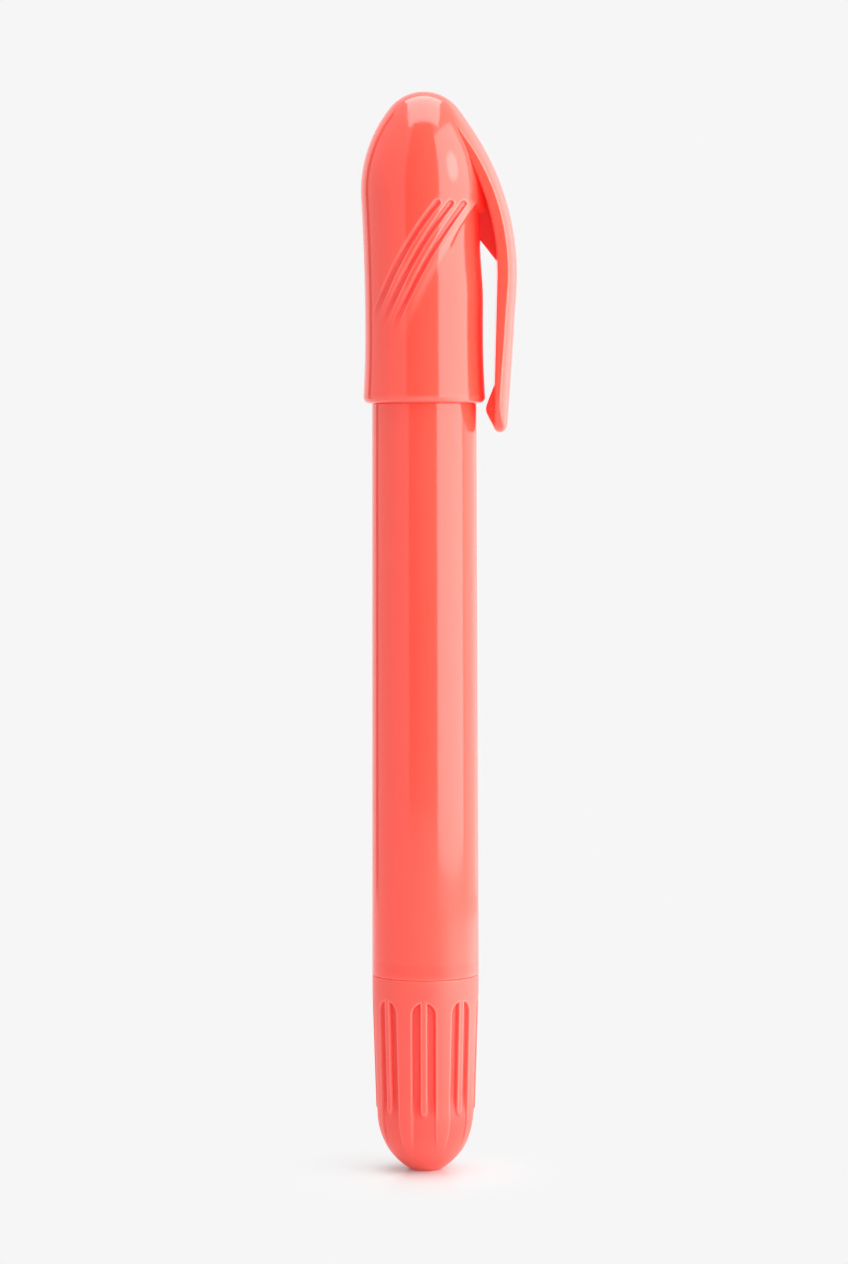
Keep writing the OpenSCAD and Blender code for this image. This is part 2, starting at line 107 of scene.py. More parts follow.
def roundedOutline(corners, arcSteps):
    # corners are (x, z, rounding); each rounded corner gets an arc between its two tangent points
    points = []
    for index, (x, z, rounding) in enumerate(corners):
        if rounding == 0:
            points.append((x, z))
            continue
        here = Vector((x, z))
        before = (Vector(corners[index - 1][:2]) - here).normalized()
        after = (Vector(corners[index + 1][:2]) - here).normalized()
        halfAngle = before.angle(after) / 2
        centre = here + (before + after).normalized() * rounding / math.sin(halfAngle)
        start = here + before * rounding / math.tan(halfAngle) - centre
        sweep = start.angle_signed(here + after * rounding / math.tan(halfAngle) - centre)
        for step in range(arcSteps + 1):
            turn = -sweep * step / arcSteps
            points.append((centre.x + start.x * math.cos(turn) - start.y * math.sin(turn),
                           centre.y + start.x * math.sin(turn) + start.y * math.cos(turn)))
    return np.array(points)


def gridFaces(rows, columns, wrapRows):
    rowIndex = np.arange(rows if wrapRows else rows - 1)[:, None]
    columnIndex = np.arange(columns)[None, :]
    nextRow = (rowIndex + 1) % rows
    nextColumn = (columnIndex + 1) % columns
    corners = (rowIndex * columns + columnIndex, nextRow * columns + columnIndex,
               nextRow * columns + nextColumn, rowIndex * columns + nextColumn)
    shape = (rowIndex.size, columns)
    return np.stack([np.broadcast_to(corner, shape) for corner in corners], axis=-1).reshape(-1, 4)


def meshPiece(name, points, faces, material, paintedShading=None):
    mesh = bpy.data.meshes.new(name)
    mesh.from_pydata((np.asarray(points) * mm).tolist(), [], faces)
    work = bmesh.new()
    work.from_mesh(mesh)
    bmesh.ops.recalc_face_normals(work, faces=work.faces)
    work.to_mesh(mesh)
    work.free()
    mesh.shade_smooth()
    mesh.materials.append(material)
    # the painted highlight and shade values go on the points as an attribute
    if paintedShading is not None:
        layer = mesh.attributes.new("paintedShading", "FLOAT", "POINT")
        layer.data.foreach_set("value", np.asarray(paintedShading, dtype=np.float32))
    piece = bpy.data.objects.new(name, mesh)
    bpy.context.scene.collection.objects.link(piece)
    return piece


def gridPiece(name, grid, material, paintedShading=None, wrapRows=False):
    # grid is rows of rings; open rows are closed at both ends by a fan round the end ring's middle
    rows, columns = grid.shape[:2]
    points = grid.reshape(-1, 3)
    faces = gridFaces(rows, columns, wrapRows).tolist()
    if paintedShading is not None:
        paintedShading = np.broadcast_to(paintedShading, (rows, columns)).ravel()
    if not wrapRows:
        points = np.concatenate((points, [grid[0].mean(axis=0), grid[-1].mean(axis=0)]))
        first, last = len(points) - 2, len(points) - 1
        lastRow = (rows - 1) * columns
        for column in range(columns):
            following = (column + 1) % columns
            faces.append((first, column, following))
            faces.append((last, lastRow + following, lastRow + column))
        if paintedShading is not None:
            paintedShading = np.concatenate((paintedShading, [0.0, 0.0]))
    return meshPiece(name, points, faces, material, paintedShading)


def turnedGrid(profile, angles):
    radius = profile[:, 0][:, None]
    height = np.broadcast_to(profile[:, 1][:, None], (len(profile), len(angles)))
    return np.stack((radius * np.cos(angles), radius * np.sin(angles), height), axis=-1)


def evenAngles(columns):
    return np.arange(columns) * 2 * math.pi / columns


def fit(piece, body, slot, *nodes):
    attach(piece, body)
    if nodes:
        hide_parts(*nodes)
    print("  made", piece.name, len(piece.data.polygons), "faces")


# shared shader effects
def newGroup(name, inputs, outputs):
    group = bpy.data.node_groups.new(name, "ShaderNodeTree")
    for socketName, socketType, value in inputs:
        socket = group.interface.new_socket(socketName, in_out="INPUT", socket_type=socketType)
        socket.default_value = value
    for socketName, socketType in outputs:
        group.interface.new_socket(socketName, in_out="OUTPUT", socket_type=socketType)
    start = group.nodes.new("NodeGroupInput")
    end = group.nodes.new("NodeGroupOutput")
    return group, start, end


def feed(tree, socket, value):
    if isinstance(value, bpy.types.NodeSocket):
        tree.links.new(value, socket)
    else:
        socket.default_value = value


def mathNode(tree, operation, first, second, clamp=False):
    node = tree.nodes.new("ShaderNodeMath")
    node.operation = operation
    node.use_clamp = clamp
    feed(tree, node.inputs[0], first)
    feed(tree, node.inputs[1], second)
    return node.outputs[0]


def mixNode(tree, share, first, second):
    node = tree.nodes.new("ShaderNodeMix")
    node.data_type = "RGBA"
    tree.links.new(share, node.inputs["Factor"])
    tree.links.new(first, node.inputs["A"])
    tree.links.new(second, node.inputs["B"])
    return node.outputs["Result"]


def noiseNode(tree, vector, scale, detail):
    node = tree.nodes.new("ShaderNodeTexNoise")
    node.inputs["Detail"].default_value = detail
    tree.links.new(vector, node.inputs["Vector"])
    feed(tree, node.inputs["Scale"], scale)
    return node.outputs["Fac"]


def makeMouldGrain():
    # fine surface of a mould: a height for bump and a value for roughness
    group, start, end = newGroup("mouldGrain",
                                 [("Scale", "NodeSocketFloat", 9000.0),
                                  ("Roughness", "NodeSocketFloat", 0.2),
                                  ("Spread", "NodeSocketFloat", 0.05)],
                                 [("Height", "NodeSocketFloat"), ("Roughness", "NodeSocketFloat")])
    place = group.nodes.new("ShaderNodeTexCoord").outputs["Object"]
    fine = noiseNode(group, place, scale=start.outputs["Scale"], detail=3.0)
    broad = noiseNode(group, place, scale=140.0, detail=4.0)
    group.links.new(fine, end.inputs["Height"])
    fromMiddle = mathNode(group, "SUBTRACT", broad, 0.5)
    swing = mathNode(group, "MULTIPLY", fromMiddle, start.outputs["Spread"])
    group.links.new(mathNode(group, "ADD", start.outputs["Roughness"], swing), end.inputs["Roughness"])
    return group


def makePaintedEdgeShading():
    # painted highlight and shade: lightens ridges and deepens grooves where a mesh carries a painted
    # shading value, for how light falls on translucent plastic
    group, start, end = newGroup("paintedEdgeShading",
                                 [("Color", "NodeSocketColor", (1, 1, 1, 1)),
                                  ("Ridge Color", "NodeSocketColor", (1, 1, 1, 1)),
                                  ("Groove Color", "NodeSocketColor", (1, 1, 1, 1)),
                                  ("Amount", "NodeSocketFloat", 0.3)],
                                 [("Color", "NodeSocketColor")])
    attribute = group.nodes.new("ShaderNodeAttribute")
    attribute.attribute_name = "paintedShading"
    paintedShading = mathNode(group, "MULTIPLY", attribute.outputs["Fac"], start.outputs["Amount"])
    ridge = mathNode(group, "MAXIMUM", paintedShading, 0.0, clamp=True)
    groove = mathNode(group, "MAXIMUM", mathNode(group, "MULTIPLY", paintedShading, -1.0), 0.0, clamp=True)
    lifted = mixNode(group, ridge, start.outputs["Color"], start.outputs["Ridge Color"])
    group.links.new(mixNode(group, groove, lifted, start.outputs["Groove Color"]), end.inputs["Color"])
    return group


def makeShadeDrift():
    # slow drift between two near shades, as pigment settles in a moulding
    group, start, end = newGroup("shadeDrift",
                                 [("Light", "NodeSocketColor", (1, 1, 1, 1)),
                                  ("Deep", "NodeSocketColor", (1, 1, 1, 1)),
                                  ("Scale", "NodeSocketFloat", 60.0)],
                                 [("Color", "NodeSocketColor")])
    place = group.nodes.new("ShaderNodeTexCoord").outputs["Object"]
    drift = noiseNode(group, place, scale=start.outputs["Scale"], detail=2.0)
    shade = mixNode(group, drift, start.outputs["Deep"], start.outputs["Light"])
    group.links.new(shade, end.inputs["Color"])
    return group


mouldGrain = makeMouldGrain()
paintedEdgeShading = makePaintedEdgeShading()
shadeDrift = makeShadeDrift()
print("shared effects made")


def placeGroup(tree, group, **values):
    node = tree.nodes.new("ShaderNodeGroup")
    node.node_tree = group
    for name, value in values.items():
        node.inputs[name.replace("_", " ")].default_value = value
    return node


def rgba(colour):
    return (*colour, 1.0)


coatRoughness = 0.04  # of the gloss coat, where a look has one


def plasticMaterial(name, look):
    material = bpy.data.materials.new(name)
    material.use_nodes = True
    tree = material.node_tree
    shader = tree.nodes["Principled BSDF"]
    drift = placeGroup(tree, shadeDrift, Light=rgba(look["light"]), Deep=rgba(look["deep"]))
    # ridge and groove are the painted highlight and painted shade colours, laid on by the painted shading
    # value
    tint = placeGroup(tree, paintedEdgeShading, Ridge_Color=rgba(look["ridge"]),
                      Groove_Color=rgba(look["groove"]), Amount=look["tint"])
    grain = placeGroup(tree, mouldGrain, Scale=look["grainScale"], Roughness=look["roughness"],
                       Spread=look["roughnessSpread"])
    bump = tree.nodes.new("ShaderNodeBump")
    bump.inputs["Strength"].default_value = look["grainStrength"]
    bump.inputs["Distance"].default_value = look["grainDepth"] * mm
    tree.links.new(drift.outputs["Color"], tint.inputs["Color"])
    tree.links.new(tint.outputs["Color"], shader.inputs["Base Color"])
    tree.links.new(grain.outputs["Roughness"], shader.inputs["Roughness"])
    tree.links.new(grain.outputs["Height"], bump.inputs["Height"])
    tree.links.new(bump.outputs["Normal"], shader.inputs["Normal"])
    shader.inputs["IOR"].default_value = look["ior"]
    shader.inputs["Subsurface Weight"].default_value = look["glow"]
    shader.inputs["Subsurface Radius"].default_value = [reach * mm for reach in look["glowReach"]]
    shader.inputs["Subsurface Scale"].default_value = 1.0
    shader.inputs["Coat Weight"].default_value = look["coat"]
    shader.inputs["Coat Roughness"].default_value = coatRoughness
    # painted glow: the plastic gives off light of its own colour, though it is no lamp
    shader.inputs["Emission Color"].default_value = rgba(look["paintedGlowColour"])
    shader.inputs["Emission Strength"].default_value = look["paintedGlow"]
    return material


# glow is light that travels inside the plastic; the painted glow is an emission of the plastic's own
# colour, standing in for fluorescence, that lightens its shaded sides
coralGlossLook = {"light": (0.97, 0.088, 0.058), "deep": (0.95, 0.08, 0.052),
                  "ridge": (1.0, 0.19, 0.15), "groove": (0.82, 0.026, 0.024), "tint": 0.8,
                  "roughness": 0.13, "roughnessSpread": 0.04, "ior": 1.54, "coat": 0.3,
                  "grainScale": 9000.0, "grainStrength": 0.03, "grainDepth": 0.02,
                  "glow": 0.25, "glowReach": (2.2, 0.5, 0.35),
                  "paintedGlowColour": (1.0, 0.04, 0.035), "paintedGlow": 0.13}
coralSatinLook = {"light": (0.97, 0.11, 0.081), "deep": (0.95, 0.098, 0.072),
                  "ridge": (1.0, 0.21, 0.17), "groove": (0.86, 0.052, 0.04), "tint": 0.75,
                  "roughness": 0.34, "roughnessSpread": 0.06, "ior": 1.58, "coat": 0.0,
                  "grainScale": 7000.0, "grainStrength": 0.12, "grainDepth": 0.03,
                  "glow": 0.25, "glowReach": (2.2, 0.5, 0.35),
                  "paintedGlowColour": (1.0, 0.04, 0.035), "paintedGlow": 0.09}
milkWhiteLook = {"light": (0.62, 0.61, 0.585), "deep": (0.57, 0.56, 0.535),
                 "ridge": (0.7, 0.69, 0.67), "groove": (0.45, 0.44, 0.41), "tint": 0.4,
                 "roughness": 0.38, "roughnessSpread": 0.06, "ior": 1.5, "coat": 0.0,
                 "grainScale": 8000.0, "grainStrength": 0.08, "grainDepth": 0.02,
                 "glow": 0.3, "glowReach": (1.5, 1.4, 1.2),
                 "paintedGlowColour": (1.0, 1.0, 1.0), "paintedGlow": 0.0}
gelWaxLook = {"light": (0.98, 0.16, 0.14), "deep": (0.96, 0.12, 0.11),
              "ridge": (1.0, 0.25, 0.22), "groove": (0.9, 0.06, 0.05), "tint": 0.4,
              "roughness": 0.5, "roughnessSpread": 0.15, "ior": 1.45, "coat": 0.0,
              "grainScale": 2600.0, "grainStrength": 0.25, "grainDepth": 0.05,
              "glow": 0.6, "glowReach": (3.0, 1.0, 0.8),
              "paintedGlowColour": (1.0, 0.06, 0.05), "paintedGlow": 0.2}
ringRubberLook = {"light": (0.11, 0.11, 0.115), "deep": (0.085, 0.085, 0.09),
                  "ridge": (0.16, 0.16, 0.165), "groove": (0.05, 0.05, 0.05), "tint": 0.4,
                  "roughness": 0.68, "roughnessSpread": 0.08, "ior": 1.42, "coat": 0.0,
                  "grainScale": 6000.0, "grainStrength": 0.2, "grainDepth": 0.03,
                  "glow": 0.0, "glowReach": (0.1, 0.1, 0.1),
                  "paintedGlowColour": (1.0, 1.0, 1.0), "paintedGlow": 0.0}

coralGloss = plasticMaterial("coralGloss", coralGlossLook)
coralSatin = plasticMaterial("coralSatin", coralSatinLook)
milkWhite = plasticMaterial("milkWhite", milkWhiteLook)
gelWax = plasticMaterial("gelWax", gelWaxLook)
ringRubber = plasticMaterial("ringRubber", ringRubberLook)
print("materials made")


# cap: a domed shell with swoosh grooves and a shallow hollow beside them, front and back
cap = {"wall": 1.3, "bore": 6.3, "boreEdge": 0.25, "lip": 0.85, "waistHeight": 9.2, "waist": 7.64,
       "mouth": 7.89, "bulgeDrop": 12.8, "underRadius": 10.0, "crown": 5.6,
       "lipShade": 0.4, "lipShadeRise": 0.25, "lipShadeSoft": 0.5,
       "outerPole": 89.5, "innerPole": 89.0, "rowStep": 0.12, "flareStep": 1.5,
       "denseColumns": 210, "plainColumns": 32, "denseSpread": 62.0}
swoosh = {"width": 0.58, "soft": 0.2, "depth": 0.26, "firstX": 1.75, "pitch": 1.7,
          "topHeight": 25.3, "radius": 45.0, "radiusStep": 12.5, "lean": 39.6, "leanStep": 1.3,
          "fadeFrom": 11.5, "lengths": (17.4, 18.8, 19.6),
          "ridgeAt": 1.0, "ridgeSpread": 0.6, "floorShade": 0.65, "wallShade": 0.45}
hollow = {"crease": 0.5, "spread": 1.0, "fadeFrom": 3.0, "fadeTo": 11.0,
          "waistDepth": 0.2, "upperDepth": 0.15, "upperTall": 9.0,
          "ridge": 0.85, "ridgeFrom": 11.0, "ridgeTo": 21.0, "ridgeAt": 0.45, "ridgeSpread": 0.5,
          "line": 0.3, "lineFrom": 5.0, "lineTo": 16.0, "lineAt": -0.2, "lineSpread": 0.16}

bulge = -capLow.x
waistZ = rimZ + cap["waistHeight"]
bulgeZ = topZ - cap["bulgeDrop"]
crownZ = topZ - cap["crown"]
crownRise = crownZ - bulgeZ
shoulderRadius = (bulge ** 2 + crownRise ** 2 - cap["crown"] ** 2) / (2 * (bulge - cap["crown"]))
shoulderX = bulge - shoulderRadius
shoulderAngle = math.degrees(math.atan2(crownRise, -shoulderX))
flankAngle = 2 * math.atan((bulge - cap["waist"]) / (bulgeZ - waistZ))
flankRadius = (bulgeZ - waistZ) / math.sin(flankAngle) - cap["underRadius"]
underZ = bulgeZ - cap["underRadius"] * math.sin(flankAngle)
lipZ = rimZ + cap["lip"]
flare = cap["mouth"] - cap["waist"]
flareRadius = ((waistZ - lipZ) ** 2 + flare ** 2) / (2 * flare)


def bowIn(radius, span):
    return radius - np.sqrt(np.maximum(radius ** 2 - span ** 2, 0.0))


def skinRadius(z):
    # outside of the cap without its grooves, at a height above the lip
    z = np.asarray(z, dtype=float)
    shoulderTop = crownZ + cap["crown"] * math.sin(math.radians(shoulderAngle))
    flareSkin = cap["waist"] + bowIn(flareRadius, np.clip(z, lipZ, waistZ) - waistZ)
    flankSkin = cap["waist"] + bowIn(flankRadius, np.clip(z, waistZ, underZ) - waistZ)
    underSkin = bulge - bowIn(cap["underRadius"], np.clip(z, underZ, bulgeZ) - bulgeZ)
    shoulderSkin = bulge - bowIn(shoulderRadius, np.clip(z, bulgeZ, shoulderTop) - bulgeZ)
    crownSkin = cap["crown"] - bowIn(cap["crown"], np.maximum(z, shoulderTop) - crownZ)
    return np.select([z < waistZ, z < underZ, z < bulgeZ, z < shoulderTop],
                     [flareSkin, flankSkin, underSkin, shoulderSkin], crownSkin)


def swooshLine(index, x, z):
    # distance across one line of the face, positive to its upper left, and along it from its upper end
    radius = swoosh["radius"] + index * swoosh["radiusStep"]
    lean = math.radians(swoosh["lean"] - index * swoosh["leanStep"])
    centreX = swoosh["firstX"] + index * swoosh["pitch"] + radius * math.cos(lean)
    centreZ = rimZ + swoosh["topHeight"] - radius * math.sin(lean)
    across = np.hypot(x - centreX, z - centreZ) - radius
    turn = np.arctan2(z - centreZ, x - centreX) % (2 * math.pi)
    along = radius * (turn - (math.pi - lean))
    return across, along


def faceShape(x, z):
    # depth of the grooves and the hollow under the skin, and the painted shading of each place
    grooves = np.zeros_like(x)
    ridges = np.zeros_like(x)
    for index, length in enumerate(swoosh["lengths"]):
        across, along = swooshLine(index, x, z)
        nearest = np.where(along < 0, np.hypot(across, along), np.abs(across))
        edge = (nearest - swoosh["width"] / 2) / swoosh["soft"]
        fade = fadeOut(along, swoosh["fadeFrom"], length)
        grooves = np.maximum(grooves, smoothStep(0.5 - edge) * fade)
        ridges = np.maximum(ridges, bell(edge, swoosh["ridgeAt"], swoosh["ridgeSpread"]) * fade)
    # the hollow's edge is the next line in the row
    across, along = swooshLine(len(swoosh["lengths"]), x, z)
    fade = fadeOut(along, hollow["fadeFrom"], hollow["fadeTo"])
    creaseWidth = hollow["crease"] + hollow["spread"] * (1 - fade)
    inside = smoothStep((hollow["crease"] / 2 - across) / creaseWidth)
    below = smoothStep(along / hollow["crease"] + 0.5)
    upper = smoothStep((z - waistZ) / hollow["upperTall"])
    floorRadius = cap["waist"] - hollow["waistDepth"] - hollow["upperDepth"] * upper
    sink = np.maximum(skinRadius(z) - floorRadius, 0.0) * fade * inside * below
    ridgeFade = fadeOut(along, hollow["ridgeFrom"], hollow["ridgeTo"])
    lineFade = fadeOut(along, hollow["lineFrom"], hollow["lineTo"])
    crease = hollow["ridge"] * bell(across, hollow["ridgeAt"], hollow["ridgeSpread"]) * ridgeFade * below
    line = hollow["line"] * bell(across, hollow["lineAt"], hollow["lineSpread"]) * lineFade * below
    # painted highlight on the ridges and the hollow's crease, painted shade in the grooves, on their
    # walls and along the dark line
    walls = 4 * grooves * (1 - grooves)
    lifted = np.maximum(ridges, crease) * (1 - grooves)
    paintedShading = lifted - swoosh["floorShade"] * grooves - swoosh["wallShade"] * walls - line
    return np.maximum(swoosh["depth"] * grooves, sink), paintedShading


def faceAngles():
    # columns stand close together on the front and the back, where the grooves are
    spread = math.radians(cap["denseSpread"])
    side = math.pi - 2 * spread
    columns = []
    dense = cap["denseColumns"]
    plain = cap["plainColumns"]
    for middle in (-math.pi / 2, math.pi / 2):
        columns.append(middle - spread + 2 * spread * np.arange(dense) / dense)
        columns.append(middle + spread + side * np.arange(plain) / plain)
    return np.concatenate(columns)


def makeCapShell():
    innerCrown = cap["crown"] - cap["wall"]
    innerShoulder = shoulderRadius - cap["wall"]
    boreAngle = math.degrees(math.acos((cap["bore"] - shoulderX) / innerShoulder))
    boreTop = bulgeZ + innerShoulder * math.sin(math.radians(boreAngle))
    flankZ = np.linspace(underZ, waistZ, int((underZ - waistZ) / cap["rowStep"]))
    flareZ = np.linspace(waistZ, lipZ, int((waistZ - lipZ) / cap["rowStep"] / cap["flareStep"]))
    outside = joinStretches(
        arcPoints(0, crownZ, cap["crown"], cap["outerPole"], shoulderAngle, 30),
        arcPoints(shoulderX, bulgeZ, shoulderRadius, shoulderAngle, 0, 50),
        linePoints((bulge, bulgeZ), (skinRadius(underZ), underZ), 8),
        np.column_stack((skinRadius(flankZ), flankZ)),
        np.column_stack((skinRadius(flareZ), flareZ)),
        arcPoints(cap["mouth"] - cap["lip"], lipZ, cap["lip"], 0, -90, 12))
    edge = cap["boreEdge"]
    inside = joinStretches(
        linePoints((cap["mouth"] - cap["lip"], rimZ), (cap["bore"] + edge, rimZ), 3),
        arcPoints(cap["bore"] + edge, rimZ + edge, edge, 270, 180, 4),
        linePoints((cap["bore"], rimZ + edge), (cap["bore"], boreTop), 14),
        arcPoints(shoulderX, bulgeZ, innerShoulder, boreAngle, shoulderAngle, 8),
        arcPoints(0, crownZ, innerCrown, shoulderAngle, cap["innerPole"], 12))
    profile = joinStretches(outside, inside)
    outer = (np.arange(len(profile)) < len(outside))[:, None]
    grid = turnedGrid(profile, faceAngles())
    depth, paintedShading = faceShape(grid[..., 0], grid[..., 2])
    shrink = 1 - np.where(outer, depth, 0.0) / np.hypot(grid[..., 0], grid[..., 1])
    grid[..., 0] *= shrink
    grid[..., 1] *= shrink
    # painted highlight: a lighter band round the lip, where it mirrors the bright floor
    lipTop = lipZ + cap["lipShadeRise"]
    lip = cap["lipShade"] * smoothStep((lipTop - grid[..., 2]) / cap["lipShadeSoft"])
    return gridPiece("capShell", grid, coralGloss, np.where(outer, paintedShading + lip, 0.0))


fit(makeCapShell(), "cap", "coral_gloss", "cap")


# clip: a broad strap that grows out of the crown, with a bump at its tip and a thin web behind it
clip = {"halfWidth": 5.1, "bellyHeight": 16.6, "thickness": 2.66, "lean": 4.0, "innerLean": 1.5,
        "rootShare": 0.74, "rootSoft": 0.6, "rootDrop": 1.5, "rootDepth": 0.65, "rootInset": 0.1,
        "rootTall": 8.0, "tipDrop": 3.75, "tipCorner": 4.6, "tipTall": 1.1, "tipDeep": 0.9,
        "tipRows": 1.5, "tipStart": 0.08, "outerEdge": 0.42, "innerEdge": 0.32,
        "outerShare": 0.45, "innerShare": 0.4, "thinnest": 0.02, "glint": 0.75,
        "sink": 0.2, "sinkDrop": 3.6, "sinkRise": 2.2, "blend": 0.1, "buried": 0.03,
        "faceSteps": 18, "cornerSteps": 8}
bump = {"halfWidth": 3.0, "soft": 0.6, "drop": 0.85, "reach": 7.95, "rampHeight": 3.2,
        "rampEnd": 1.5, "backHeight": 2.1, "round": 0.4, "footSoft": 0.1, "tipFade": 0.6}
web = {"halfWidth": 1.1, "height": 3.9, "slope": 1.285, "edge": 0.3, "buriedEnd": 1.0, "shade": -1.0}

belly = capHigh.x
bellyZ = rimZ + clip["bellyHeight"]
tipZ = rimZ - clip["tipDrop"]
bumpZ = rimZ - bump["drop"]
bumpTopZ = bumpZ + bump["rampEnd"] * bump["rampHeight"]
rootRadius = cap["crown"] - clip["rootInset"]
rootRise = crownZ - bellyZ
strapRadius = (belly ** 2 + rootRise ** 2 - rootRadius ** 2) / (2 * (belly - rootRadius))
strapCentreX = belly - strapRadius
strapInner = strapRadius - clip["thickness"]


def bowedFace(radius, lean, z):
    # a face that bows out at the belly and runs on straight below it
    lean = math.radians(lean)
    turnZ = bellyZ - radius * math.sin(lean)
    if z > turnZ:
        return strapCentreX + math.sqrt(radius ** 2 - (z - bellyZ) ** 2)
    return strapCentreX + radius * math.cos(lean) - (turnZ - z) * math.tan(lean)


def strapOuter(z):
    reach = bowedFace(strapRadius, clip["lean"], z)
    if z < waistZ:
        return reach
    skin = float(skinRadius(z))
    sunk = clip["sink"] * float(smoothStep((z - topZ + clip["sinkDrop"]) / clip["sinkRise"]))
    return skin + softMax(reach - skin - sunk, 0.0, clip["blend"]) - clip["buried"]


def strapInside(z):
    return bowedFace(strapInner, clip["innerLean"], z)


def bumpReach(z):
    # side view of the bump: a ramp down to the peak, then a steep way back to the tip
    ramp = (z - bumpZ) / bump["rampHeight"]
    back = (bumpZ - z) / bump["backHeight"]
    peak = 1 - bump["round"] / 2
    share = softMax(1 - softMax(ramp, back, bump["round"]), 0.0, bump["footSoft"]) / peak
    return share * (strapInside(bumpZ) - bump["reach"])


def strapSection(z):
    rise = z - tipZ
    outer = strapOuter(z)
    inner = strapInside(z)
    half = -softMax(-clip["halfWidth"], -clip["rootShare"] * outer, clip["rootSoft"])
    if rise < clip["tipCorner"]:
        half -= float(bowIn(clip["tipCorner"], clip["tipCorner"] - rise))
    if rise < clip["tipTall"]:
        draw = clip["tipDeep"] * float(bowIn(1.0, 1 - rise / clip["tipTall"]))
        outer -= draw
        inner += draw
    buriedRadius = float(skinRadius(z)) - clip["rootDepth"] if z > waistZ else 0.0
    sideInner = max(inner, math.sqrt(max(buriedRadius ** 2 - half ** 2, 0.0)))
    room = max(math.sqrt(outer ** 2 - half ** 2) - sideInner, clip["thinnest"])
    outerEdge = min(clip["outerEdge"], clip["outerShare"] * room)
    innerEdge = min(clip["innerEdge"], clip["innerShare"] * room)
    edgeY = half - outerEdge
    edgeX = math.sqrt((outer - outerEdge) ** 2 - edgeY ** 2)
    edgeAngle = math.atan2(edgeY, edgeX)

    faceSteps = clip["faceSteps"]
    cornerSteps = clip["cornerSteps"]
    face = np.linspace(0, edgeAngle, faceSteps)
    outerArc = np.column_stack((outer * np.cos(face), outer * np.sin(face)))
    turn = np.linspace(edgeAngle, math.pi / 2, cornerSteps)
    outerCorner = np.column_stack((edgeX + outerEdge * np.cos(turn), edgeY + outerEdge * np.sin(turn)))
    side = linePoints((edgeX, half), (sideInner + innerEdge, half), 6)
    innerCorner = arcPoints(sideInner + innerEdge, half - innerEdge, innerEdge, 90, 180, 5)
    backY = np.linspace(half - innerEdge, 0, 20)
    backX = np.maximum(inner, np.sqrt(np.maximum(buriedRadius ** 2 - backY ** 2, 0.0)))
    if z < bumpTopZ:
        hump = smoothStep((bump["halfWidth"] - backY) / bump["soft"] + 0.5)
        backX = backX - hump * bumpReach(z) * min(1.0, rise / bump["tipFade"])
    back = np.column_stack((backX, backY))
    halfLoop = np.concatenate((outerArc, outerCorner[1:], side[1:], innerCorner[1:], back[1:]))
    loop = np.concatenate((halfLoop, (halfLoop * (1, -1))[-2:0:-1]))
    # painted highlight along the strap's outer rounded edge
    glint = np.zeros(len(halfLoop))
    crest = clip["glint"] * np.sin(np.linspace(0, math.pi, cornerSteps))
    glint[faceSteps - 1:faceSteps - 1 + cornerSteps] = crest * outerEdge / clip["outerEdge"]
    paintedShading = np.concatenate((glint, glint[-2:0:-1]))
    return np.column_stack((loop, np.full(len(loop), z))), paintedShading


def makeClipStrap():
    lowZ = tipZ + clip["tipTall"] * clip["tipRows"]
    upperZ = topZ - clip["rootTall"]
    heights = joinStretches(
        tipZ + (lowZ - tipZ) * (1 - np.cos(np.linspace(clip["tipStart"], math.pi / 2, 18)))[:, None],
        np.linspace(lowZ, bumpTopZ, 40)[:, None],
        np.linspace(bumpTopZ, upperZ, 80)[:, None],
        np.linspace(upperZ, topZ - clip["rootDrop"], 44)[:, None])[:, 0]
    sections = [strapSection(z) for z in heights]
    grid = np.stack([points for points, paintedShading in sections])
    return gridPiece("clipStrap", grid, coralGloss, np.stack([paintedShading for points, paintedShading in sections]))


def makeClipWeb():
    # a wall swept from under the cap's skin into the strap, with a rounded lower edge and painted shade
    # all over
    lowZ = bellyZ + web["height"]
    fromX = cap["waist"] - clip["rootDepth"]
    toX = strapInside(lowZ) + web["buriedEnd"]
    half = web["halfWidth"]
    grid = []
    for x in np.linspace(fromX, toX, 20):
        edgeZ = lowZ - web["slope"] * (x - cap["waist"])
        side = linePoints((half, bulgeZ), (half, edgeZ + web["edge"]), 8)
        corner = arcPoints(half - web["edge"], edgeZ + web["edge"], web["edge"], 0, -90, 6)
        middle = linePoints((half - web["edge"], edgeZ), (0, edgeZ), 3)
        halfLoop = joinStretches(side, corner, middle)
        loop = np.concatenate((halfLoop, (halfLoop * (-1, 1))[-2::-1]))
        grid.append(np.column_stack((np.full(len(loop), x), loop)))
    return gridPiece("clipWeb", np.array(grid), coralGloss, web["shade"])


fit(makeClipStrap(), "cap", "coral_gloss")
fit(makeClipWeb(), "cap", "coral_gloss")


# barrel: a plain glossy tube, with painted shade in a faint band above the seam, where the spigot is
# behind it
barrel = {"bore": 5.62, "topRadius": 6.77, "lowEdge": 0.12, "topEdge": 0.06, "seamGap": 0.05,
          "rimGap": 0.03, "beadHeight": 2.2, "beadCentre": 5.47, "beadRoom": 0.65,
          "bandLow": 0.5, "bandHigh": 2.1, "bandSoft": 0.4, "bandShade": 0.2, "bandRows": 3.0,
          "edgeShade": 1.1, "edgeTall": 0.35, "columns": 192}


